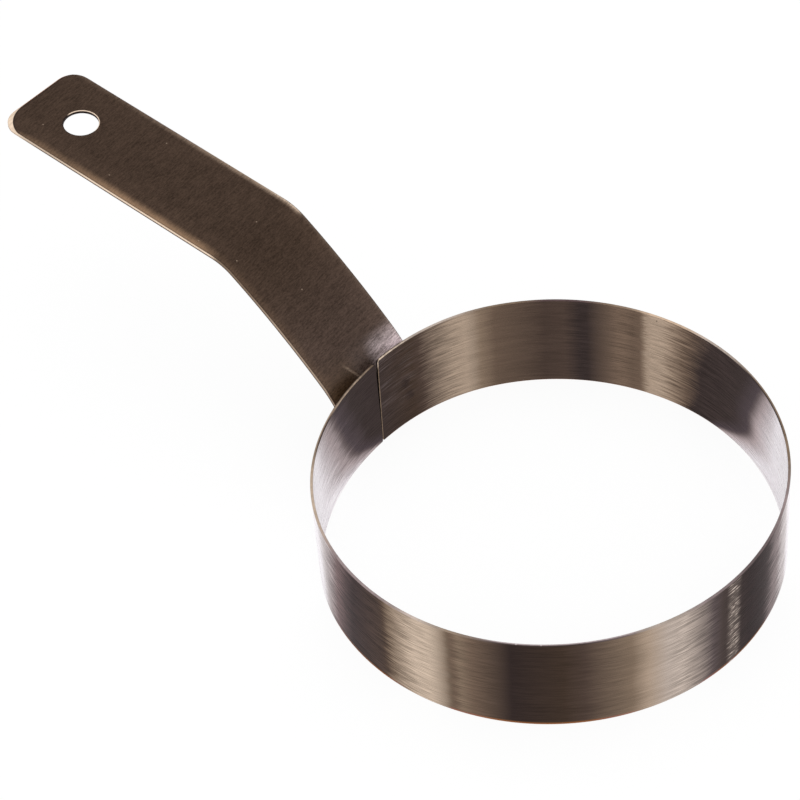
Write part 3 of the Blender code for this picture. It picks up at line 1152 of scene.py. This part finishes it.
@dataclass
class RolledBand:
    """The strip rolled into a ring, with a narrow open seam.

    Bearings are in degrees from the handle's side, and lengths in metres.
    """

    inner_diameter: float = 0.1016
    thickness: float = 0.0006
    height: float = 0.0248
    axis_x: float = -0.0498191
    drawn_in: float = 0.0012
    drawn_in_bearing: float = 8.0
    drawn_in_before: float = 45.0
    drawn_in_after: float = 55.0
    edge_radius: float = 0.00012
    edge_steps: int = 4
    end_radius: float = 0.00026
    end_steps: int = 6
    first_end: tuple[float, float] = (-1.68, -1.52)
    second_end: tuple[float, float] = (-1.85, -2.55)
    end_step: float = 0.00008
    end_step_spread: float = 24.0
    end_corner: float = 0.0007
    end_corner_share: float = 0.6
    steps: tuple[float, float, float] = (0.00018, 0.0003, 0.0006)
    dimple_depth: float = 0.00005
    dimple_radius: float = 0.0021
    dimples: tuple[tuple[float, float], ...] = (
        (348.4, 0.0122), (348.4, 0.0065), (5.3, 0.0118), (4.1, 0.0064))

    @property
    def outer_radius(self) -> float:
        """The radius of the outer face where the band isn't drawn in."""
        return self.inner_diameter / 2 + self.thickness

    def pull(self, bearing: np.ndarray) -> np.ndarray:
        """How far the outer face lies inside its true circle.

        Args:
            bearing: bearings in degrees.

        Returns:
            The distances in metres.
        """
        offset = (bearing - self.drawn_in_bearing + 180) % 360 - 180
        spread = np.where(offset > 0, self.drawn_in_after, self.drawn_in_before)
        share = np.where(np.abs(offset) < spread, (1 + np.cos(pi * offset / spread)) / 2, 0.0)
        return self.drawn_in * share

    @property
    def length(self) -> float:
        """The way round the outer face."""
        return 2 * pi * self.outer_radius

    def section(self) -> tuple[np.ndarray, np.ndarray]:
        """The strip's section on the outer side, from the lower rim to the upper.

        Returns:
            The depths from the outer face, and the heights.
        """
        radius, top = self.edge_radius, self.height
        fine, middle, coarse = self.steps
        turns = np.linspace(0, pi / 2, self.edge_steps)
        face = stepped([(0.0004, fine), (0.0010, middle), (top - 0.0010, coarse),
                        (top - 0.0004, middle), (top - radius, fine)], radius)[1:-1]
        rising, turning = radius * (1 - np.sin(turns)), radius * (1 - np.cos(turns))
        return (np.concatenate([rising, np.zeros(len(face)), turning]),
                np.concatenate([turning, face, top - rising]))

    def stations(self) -> np.ndarray:
        """The shares of the way round the strip at which it has a section.

        Returns:
            The shares from 0 to 1, close together round each end.
        """
        length = self.length
        lead = self.end_radius * (1 - np.cos(np.linspace(0, pi / 2, self.end_steps + 1))) / length
        even = stepped([(0.0014, 0.0002), (0.016, 0.0004), (length - 0.020, 0.0010),
                        (length - 0.0014, 0.0004), (length, 0.0002)], 0.0)[1:-1] / length
        return np.concatenate([lead, even * (1 - 2 * lead[-1]) + lead[-1], 1 - lead[::-1]])

    def build(self) -> bpy.types.Object:
        """Build the band in place of its node.

        Returns:
            The band.
        """
        depth, height = self.section()
        count = len(depth)
        depth = np.concatenate([depth, self.thickness - depth[::-1]])
        height = np.concatenate([height, height[::-1]])
        shares = np.unique(np.round(self.stations(), 9))
        first = self._end(self.first_end, height, 1)
        second = self._end(self.second_end, height, -1) + 360.0
        corners = []
        kept = {"bearing": [], "run": [], "height": [], "depth": [], "tip": []}
        for share in shares:
            sunk = self._rounded((1 - share) * self.length)
            mid = depth + sunk * (1 - 2 * depth / self.thickness)
            tall = height + sunk * (1 - 2 * height / self.height)
            bearing = first + (second - first) * share
            radius = self.outer_radius - self.pull(bearing) - mid - self._step(bearing)
            radius = radius + self._dimple(bearing, tall, depth)
            turn = np.radians(bearing)
            corners.append(np.stack(
                [self.axis_x + radius * np.cos(turn), radius * np.sin(turn), tall], 1))
            kept["bearing"].append(bearing)
            kept["run"].append(bearing / 360 * self.length / MM)
            kept["height"].append(height / MM)
            kept["depth"].append(depth / MM)
            kept["tip"].append(np.full(len(depth), min(share, 1 - share) * self.length / MM))
        faces, slots = self._faces(len(shares), count)
        band = mesh_object(
            "band", np.concatenate(corners), faces, {k: np.concatenate(v) for k, v in kept.items()},
            [InsideFinish().make(), OutsideFinish().make(), CutEdgeFinish().make()], slots)
        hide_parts("ring_band")
        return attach(band, BODY)

    def _rounded(self, from_end: float) -> float:
        """How far the section is sunk at a distance from the second end, to round its edges."""
        inside = max(0.0, 1 - from_end / self.end_radius)
        return self.end_radius * (1 - (1 - inside * inside) ** 0.5)

    def _end(self, ends: tuple[float, float], height: np.ndarray, way: int) -> np.ndarray:
        """The bearing of one end of the strip at each height.

        Args:
            ends: its bearing at the lower and at the upper rim.
            height: the heights.
            way: 1 where the strip goes on to greater bearings, -1 where to lesser.

        Returns:
            The bearings in degrees.
        """
        into = np.clip(1 - np.minimum(height, self.height - height) / self.end_corner, 0, 1)
        rounded = self.end_corner * (1 - np.sqrt(1 - into * into)) * self.end_corner_share
        straight = ends[0] + (ends[1] - ends[0]) * height / self.height
        return straight + way * np.degrees(rounded / self.outer_radius)

    def _step(self, bearing: np.ndarray) -> np.ndarray:
        """How much further in the first end stands than the second."""
        return self.end_step * smooth(1 - (bearing - self.first_end[0]) / self.end_step_spread)

    def _dimple(self, bearing: np.ndarray, height: np.ndarray, depth: np.ndarray) -> np.ndarray:
        """How far the welding tips have sunk into the inner face.

        Args:
            bearing: the bearings of the points.
            height: their heights.
            depth: their depths from the outer face.

        Returns:
            The distances, which are 0 on the outer face.
        """
        sunk = np.zeros(len(bearing))
        for at, up in self.dimples:
            along = np.radians((bearing - at + 180) % 360 - 180) * self.outer_radius
            sunk += dimple(np.hypot(along, height - up), self.dimple_radius, self.dimple_depth)
        return sunk * (depth > self.thickness / 2)

    def _faces(self, stations: int, count: int) -> tuple[list[tuple[int, ...]], list[int]]:
        """The faces between the sections and over the two ends.

        The last sections before the second end are cut edge all round.

        Args:
            stations: how many sections there are.
            count: how many points the section has on one side.

        Returns:
            The faces, and each one's material: 0 inside, 1 outside, 2 cut edge.
        """
        around, corner = 2 * count, self.edge_steps
        faces, slots = [], []
        for station in range(stations - 1):
            here, there = station * around, (station + 1) * around
            for point in range(around):
                after = (point + 1) % around
                faces.append((here + point, there + point, there + after, here + after))
                side = point if point < count else around - 2 - point
                plain = point not in (count - 1, around - 1) and corner - 1 <= side < count - corner
                plain = plain and station < stations - 1 - self.end_steps
                slots.append((1 if point < count else 0) if plain else 2)
        for station, flip in ((0, 1), (stations - 1, -1)):
            base = station * around
            for point in range(count - 1):
                back = base + around - 1 - point
                faces.append((base + point, base + point + 1, back - 1, back)[::flip])
                slots.append(2)
        return faces, slots


@dataclass
class CrankedHandle:
    """The strip handle: a tab on the wall, a fold, a slope, a knee and a level grip with a hole.

    The run is measured along the strip's upper face from the tab's foot, and across is measured
    from its middle line towards the side of greater y.
    """

    band: RolledBand
    width: float = 0.0243
    thickness: float = 0.0009
    side_shift: float = -0.00175
    foot_height: float = 0.0008
    fold_start: float = 0.0136
    fold_radius: float = 0.0142
    slope: float = radians(45.5)
    slope_length: float = 0.0323
    slope_bow_radius: float = 0.1810
    knee_radius: float = 0.0127
    grip_rise: float = radians(6.1)
    grip_length: float = 0.0661
    corner_radius: float = 0.0048
    flattening: float = 0.0100
    gap: float = 0.0003
    hole_diameter: float = 0.0082
    hole_from_end: float = 0.0145
    edge_radius: float = 0.00020
    edge_steps: int = 4
    roll_depth: float = 0.00008
    roll_width: float = 0.0018
    row: float = 0.0008
    side_row: float = 0.0006
    edge_row: float = 0.0002
    corner_steps: int = 8
    hole_window: float = 0.0070
    hole_rings: int = 8
    hole_ring_crowding: float = 1.4
    dimple_depth: float = 0.00008
    dimple_radius: float = 0.0022
    weld_runs: tuple[float, float] = (0.0054, 0.0107)
    weld_across: tuple[float, float] = (-0.0065, 0.0065)

    @property
    def arcs(self) -> tuple[tuple[float, float, float], ...]:
        """The three bends of the strip: the fold, the bowed slope and the knee.

        Returns:
            For each, the angles at which it starts and ends, and its radius.
        """
        knee = self.slope - self.slope_length / self.slope_bow_radius
        return ((pi / 2, self.slope, self.fold_radius), (self.slope, knee, self.slope_bow_radius),
                (knee, self.grip_rise, self.knee_radius))

    @property
    def bends(self) -> tuple[float, float, float, float, float]:
        """Where each part of the strip ends.

        Returns:
            The runs at the end of the tab, the fold, the slope, the knee and the grip.
        """
        lengths = [self.fold_start - self.foot_height, self.grip_length]
        lengths[1:1] = [(first - last) * radius for first, last, radius in self.arcs]
        return tuple(np.cumsum(lengths))

    @property
    def outline(self) -> HandleOutline:
        """The strip's edges and bends as its finishes need them.

        Returns:
            The outline, in millimetres.
        """
        _, _, _, knee, end = self.bends
        return HandleOutline(end=end / MM, half_width=self.width / 2 / MM, grip_start=knee / MM,
                             hole_run=(end - self.hole_from_end) / MM)

    def wall(self, side: np.ndarray) -> np.ndarray:
        """The outer face of the band, as a distance from its axis along the handle.

        Args:
            side: distances beside the axis.

        Returns:
            The distances along the handle.
        """
        bearing = np.zeros(np.shape(side))
        radius = self.band.outer_radius - self.band.pull(bearing)
        for _ in range(8):
            bearing = np.arcsin(side / radius)
            radius = self.band.outer_radius - self.band.pull(np.degrees(bearing))
        return radius * np.cos(bearing)

    def upper(self, run: np.ndarray, across: np.ndarray) -> np.ndarray:
        """Points of the strip's upper face.

        Args:
            run: the run of each point.
            across: how far it is from the middle line.

        Returns:
            The points, one a row.
        """
        tab, _, _, knee, _ = self.bends
        middle = self.wall(np.array(self.side_shift))
        y = self.side_shift + across
        kept = smooth(1 - np.maximum(run - tab, 0) / self.flattening)
        x = middle + self.gap + kept * (self.wall(y) - middle)
        z = self.foot_height + np.minimum(run, tab)
        for begun, (first, last, radius) in zip(self.bends, self.arcs):
            angle = first - np.clip((run - begun) / radius, 0, first - last)
            x = x + radius * (sin(first) - np.sin(angle))
            z = z + radius * (np.cos(angle) - cos(first))
        level = np.maximum(run - knee, 0)
        return np.stack([self.band.axis_x + x + level * cos(self.grip_rise), y,
                         z + level * sin(self.grip_rise)], 1)

    def place(self, run: np.ndarray, across: np.ndarray, depth: np.ndarray) -> np.ndarray:
        """Points of the strip at a depth under its upper face.

        Args:
            run: the run of each point.
            across: how far it is from the middle line.
            depth: how deep it is.

        Returns:
            The points, one a row.
        """
        step = 1e-5
        along = self.upper(run + step, across) - self.upper(run - step, across)
        aside = self.upper(run, across + step) - self.upper(run, across - step)
        normal = np.cross(along, aside)
        normal /= np.linalg.norm(normal, axis=1)[:, None]
        return self.upper(run, across) - normal * depth[:, None]

    def blank(self) -> tuple[np.ndarray, list[tuple[int, ...]], list[int], list[int]]:
        """The flat strip inside its rounded edges, as quads that leave the hole open.

        Returns:
            Its points as run and across, its faces, and the points round its outline and its hole.
        """
        inset = self.edge_radius
        end = self.bends[-1]
        half = self.width / 2 - inset
        corner = self.corner_radius - inset
        rounding = end - inset - corner
        centre = end - self.hole_from_end
        window = self.hole_window
        row, beside, fine = self.row, self.side_row, self.edge_row
        runs = np.concatenate([
            stepped([(place, row) for place in (
                self.bends[0], centre - window, centre + window, rounding)], inset)[:-1],
            rounding + corner * np.sin(np.linspace(0, pi / 2, self.corner_steps + 1))])
        lines = stepped([(-half + beside, fine), (-window, beside), (window, row),
                         (half - beside, beside), (half, fine)], -half)
        drawn = corner * (1 - np.cos(np.arcsin(np.clip((runs - rounding) / corner, 0, 1))))
        rows, columns = (
            [int(np.argmin(np.abs(places - middle - way * window))) for way in (-1, 1)]
            for places, middle in ((runs, centre), (lines, 0.0)))
        points, faces, number = [], [], {}
        for i, run in enumerate(runs):
            for j, line in enumerate(lines):
                if not (rows[0] < i < rows[1] and columns[0] < j < columns[1]):
                    number[i, j] = len(points)
                    points.append((run, line * (half - drawn[i]) / half))
        for i in range(len(runs) - 1):
            for j in range(len(lines) - 1):
                if not (rows[0] <= i < rows[1] and columns[0] <= j < columns[1]):
                    face = ((i, j), (i + 1, j), (i + 1, j + 1), (i, j + 1))
                    faces.append(tuple(number[key] for key in face))
        outline = [number[key] for key in grid_loop((0, len(runs) - 1), (0, len(lines) - 1))]
        ring = [number[key] for key in grid_loop(rows, columns)]
        around = np.array([points[n] for n in ring]) - (centre, 0.0)
        radius = self.hole_diameter / 2 + inset
        circle = around / np.linalg.norm(around, axis=1)[:, None] * radius
        for step in range(1, self.hole_rings + 1):
            share = 1 - (1 - step / self.hole_rings) ** self.hole_ring_crowding
            inner = [len(points) + n for n in range(len(ring))]
            points.extend(((circle - around) * share + around + (centre, 0.0)).tolist())
            for n in range(len(ring)):
                after = (n + 1) % len(ring)
                faces.append((ring[n], ring[after], inner[after], inner[n]))
            ring = inner
        return np.array(points), faces, outline, ring

    def build(self) -> bpy.types.Object:
        """Build the handle in place of its node.

        Returns:
            The handle.
        """
        points, skin, outline, hole = self.blank()
        count = len(points)
        rolled = self._rolled(points)
        upper = np.column_stack([points, rolled])
        lower = np.column_stack([points, self.thickness - self._weld_dimples(points)])
        faces = skin + [tuple(count + n for n in reversed(face)) for face in skin]
        slots = [0] * len(faces)
        flat = np.concatenate([upper, lower])
        for loop, is_hole in ((outline, False), (hole, True)):
            flat = self._add_edge(upper, loop, is_hole, flat, faces)
        slots += [1] * (len(faces) - len(slots))
        run, across, depth = flat.T
        handle = mesh_object(
            "cranked_handle", self.place(run, across, depth), faces,
            {"run": run / MM, "across": across / MM, "depth": depth / MM},
            [HandleFinish(self.outline).make(), HandleEdgeFinish(self.outline).make()], slots)
        # A texture space far off along x gives the brushing one direction all over the strip.
        handle.data.use_auto_texspace = False
        handle.data.texspace_location = (-100.0, 0.0, 0.0)
        handle.data.texspace_size = (1.0, 1.0, 1.0)
        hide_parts("handle")
        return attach(handle, BODY)

    def _rolled(self, points: np.ndarray) -> np.ndarray:
        """How far the upper face rolls down towards the strip's outline.

        Args:
            points: the blank's points.

        Returns:
            The depth at each point.
        """
        beside = self.width / 2 - np.abs(points[:, 1])
        before = self.bends[-1] - points[:, 0]
        return self.roll_depth * smooth(1 - np.minimum(beside, before) / self.roll_width)

    def _weld_dimples(self, points: np.ndarray) -> np.ndarray:
        """How far the welding tips have sunk into the tab's outer face.

        Args:
            points: the blank's points.

        Returns:
            The distance at each point.
        """
        sunk = np.zeros(len(points))
        for at_run in self.weld_runs:
            for at_across in self.weld_across:
                away = np.hypot(points[:, 0] - at_run, points[:, 1] - at_across)
                sunk += dimple(away, self.dimple_radius, self.dimple_depth)
        return sunk

    def _outward(self, line: np.ndarray) -> np.ndarray:
        """The way to the right of a closed line at each of its points.

        Args:
            line: the points, as run and across.

        Returns:
            Directions, drawn out at a bend so that both sides there move by 1.
        """
        steps = np.roll(line, -1, 0) - line
        steps /= np.linalg.norm(steps, axis=1)[:, None]
        ahead = np.stack([steps[:, 1], -steps[:, 0]], 1)
        outward = ahead + np.roll(ahead, 1, 0)
        outward /= np.linalg.norm(outward, axis=1)[:, None]
        return outward / np.maximum((outward * ahead).sum(1), 0.5)[:, None]

    def _add_edge(self, upper: np.ndarray, loop: list[int], is_hole: bool, flat: np.ndarray,
                  faces: list[tuple[int, ...]]) -> np.ndarray:
        """Add the rounded edge between the two skins along one loop of points.

        Args:
            upper: the run, across and depth of the upper skin's points.
            loop: the points along the edge, in order.
            is_hole: whether the edge is the hole's.
            flat: the run, across and depth of every point so far.
            faces: the faces so far, to which the edge's are added.

        Returns:
            The run, across and depth of every point, with the edge's own.
        """
        line, top = upper[loop, :2], upper[loop, 2]
        way = -1 if is_hole else 1
        outward = self._outward(line) * way
        radius, low = self.edge_radius, self.thickness
        turns = np.linspace(0, pi / 2, self.edge_steps + 1)
        levels = [(radius * sin(t), top + radius * (1 - cos(t))) for t in turns[1:]]
        levels += [(radius, (top + low) / 2)]
        levels += [(radius * cos(t), low - radius * (1 - sin(t)) + 0 * top) for t in turns[:-1]]
        rings = [loop]
        for out, down in levels:
            rings.append(list(range(len(flat), len(flat) + len(loop))))
            flat = np.concatenate([flat, np.column_stack([line + outward * out, down])])
        rings.append([n + len(upper) for n in loop])
        for above, below in zip(rings[:-1], rings[1:]):
            for n in range(len(loop)):
                after = (n + 1) % len(loop)
                faces.append((above[n], below[n], below[after], above[after])[::way])
        return flat


@dataclass
class SpotWelds:
    """The four weld nuggets that show in the gap between the band and the tab."""

    nodes: tuple[str, ...] = ("weld_nugget_1", "weld_nugget_2", "weld_nugget_3", "weld_nugget_4")

    def dress(self) -> None:
        """Give the nuggets their finish."""
        finish = WeldFinish().make()
        for name in self.nodes:
            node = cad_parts[name]
            node.data.materials.clear()
            node.data.materials.append(finish)


@dataclass
class PhotoCamera:
    """The camera at the photograph's place: it looks down over the front of the ring.

    Angles are in degrees. The distance is in millimetres for a ring of 50.8 mm outer radius,
    and the scale brings it to this one's.
    """

    elevation: float = 47.525
    distance: float = 623.989
    focal_pixels: float = 2867.48
    pan: float = 2.9105
    tilt: float = 2.9243
    roll: float = 2.1308
    scale: float = 51.4 / 50.8
    turn: float = -140.57
    frame_pixels: float = 800.0
    sensor_mm: float = 36.0
    nearest: float = 0.01
    furthest: float = 20.0

    def build(self, axis_x: float) -> bpy.types.Object:
        """Make the camera.

        Args:
            axis_x: where the ring's axis is.

        Returns:
            The camera, as the scene's own.
        """
        down = radians(self.elevation)
        eye = Vector((0.0, -cos(down), sin(down))) * self.distance
        ahead, right = -eye.normalized(), Vector((1.0, 0.0, 0.0))
        up = right.cross(ahead)
        pan = Matrix.Rotation(radians(self.pan), 3, up)
        ahead, right = pan @ ahead, pan @ right
        tilt = Matrix.Rotation(radians(self.tilt), 3, right)
        ahead, up = tilt @ ahead, tilt @ up
        roll = Matrix.Rotation(radians(self.roll), 3, ahead)
        right, up = roll @ right, roll @ up
        turn = Matrix.Rotation(radians(self.turn), 3, "Z")
        axes = Matrix((turn @ right, turn @ up, turn @ -ahead)).transposed().to_4x4()
        place = turn @ eye * (self.scale * MM) + Vector((axis_x, 0.0, 0.0))
        data = bpy.data.cameras.new("photo_camera")
        data.sensor_width = self.sensor_mm
        data.lens = self.focal_pixels * self.sensor_mm / self.frame_pixels
        data.clip_start, data.clip_end = self.nearest, self.furthest
        camera = bpy.data.objects.new("photo_camera", data)
        camera.matrix_world = Matrix.Translation(place) @ axes
        bpy.context.scene.collection.objects.link(camera)
        bpy.context.scene.camera = camera
        return camera


@dataclass
class SoftLamp:
    """One soft box of the studio."""

    name: str
    place: tuple[float, float, float]
    side: float
    watts: float

    def build(self, aim: Vector) -> bpy.types.Object:
        """Make the lamp.

        Args:
            aim: the point that it is turned to.

        Returns:
            The lamp.
        """
        data = bpy.data.lights.new(self.name, "AREA")
        data.shape = "SQUARE"
        data.size = self.side
        data.energy = self.watts
        lamp = bpy.data.objects.new(self.name, data)
        lamp.location = self.place
        lamp.visible_glossy = False
        lamp.rotation_euler = (aim - Vector(self.place)).to_track_quat("-Z", "Y").to_euler()
        bpy.context.scene.collection.objects.link(lamp)
        return lamp


@dataclass
class Studio:
    """A plain pale floor, a pale surround and soft lamps."""

    floor_side: float = 6.0
    floor_drop: float = 0.00005
    shadow_share: float = 0.07
    surround: float = 0.95
    floor_tone: tuple[float, float, float, float] = (0.93, 0.93, 0.93, 1.0)
    aim: tuple[float, float, float] = (0.0, 0.0, 0.02)
    lamps: tuple[SoftLamp, ...] = (
        SoftLamp("soft_lamp_over", (0.10, -0.10, 1.30), 1.2, 4.0),
        SoftLamp("soft_lamp_side", (-0.95, 0.55, 0.75), 0.8, 2.5))

    def build(self) -> None:
        """Set the floor, the surround and the lamps."""
        bpy.context.scene.view_settings.view_transform = "Standard"
        self._surround()
        self._floor()
        for lamp in self.lamps:
            lamp.build(Vector(self.aim))
            LOG.info("lamp %s", lamp.name)

    @staticmethod
    def _seen(bench: NodeBench) -> Value:
        """Whether a ray comes from the camera, or is one that a gloss or glass sends.

        Args:
            bench: the bench of the floor or the surround.

        Returns:
            1 for such a ray, else 0.
        """
        path = bench.add("ShaderNodeLightPath")
        camera, gloss, glass = (Value(bench, path.outputs[name]) for name in (
            "Is Camera Ray", "Is Glossy Ray", "Is Transmission Ray"))
        return camera.highest(gloss).highest(glass)

    def _surround(self) -> None:
        """Make the world: white where it is seen, and softer as a light."""
        world = bpy.data.worlds.new("pale_surround")
        bpy.context.scene.world = world
        world.use_nodes = True
        bench = NodeBench(world.node_tree)
        strength = self._seen(bench) * (1.0 - self.surround) + self.surround
        background = bench.add(
            "ShaderNodeBackground", None, {"Color": WHITE_LIGHT, "Strength": strength})
        bench.add("ShaderNodeOutputWorld", None, {"Surface": background.outputs[0]})

    def _floor(self) -> None:
        """Make the floor, which is white where it is seen and keeps the object's shadow."""
        material, bench = new_material("pale_floor")
        diffuse = bench.add("ShaderNodeBsdfDiffuse", None, {"Color": self.floor_tone})
        glow = bench.add("ShaderNodeEmission", None, {"Color": WHITE_LIGHT, "Strength": 1.0})
        share = self._seen(bench) * (1.0 - self.shadow_share)
        mixed = bench.add(
            "ShaderNodeMixShader", None, {0: share, 1: diffuse.outputs[0], 2: glow.outputs[0]})
        bench.add("ShaderNodeOutputMaterial", None, {"Surface": mixed.outputs[0]})
        half, low = self.floor_side / 2, -self.floor_drop
        corners = [(x * half, y * half, low) for x, y in ((-1, -1), (1, -1), (1, 1), (-1, 1))]
        floor = mesh_object("pale_floor", np.array(corners), [(0, 1, 2, 3)], {}, [material], [0])


def main() -> None:
    """Build the camera, the studio and every piece."""
    logging.basicConfig(level=logging.INFO, format="%(name)s: %(message)s")
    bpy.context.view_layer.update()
    band = RolledBand()
    PhotoCamera().build(band.axis_x)
    Studio().build()
    ring = band.build()
    LOG.info("band: %d faces", len(ring.data.polygons))
    handle = CrankedHandle(band).build()
    LOG.info("cranked handle: %d faces", len(handle.data.polygons))
    welds = SpotWelds()
    welds.dress()
    LOG.info("weld nuggets: %d", len(welds.nodes))


if __name__ == "__main__":
    main()
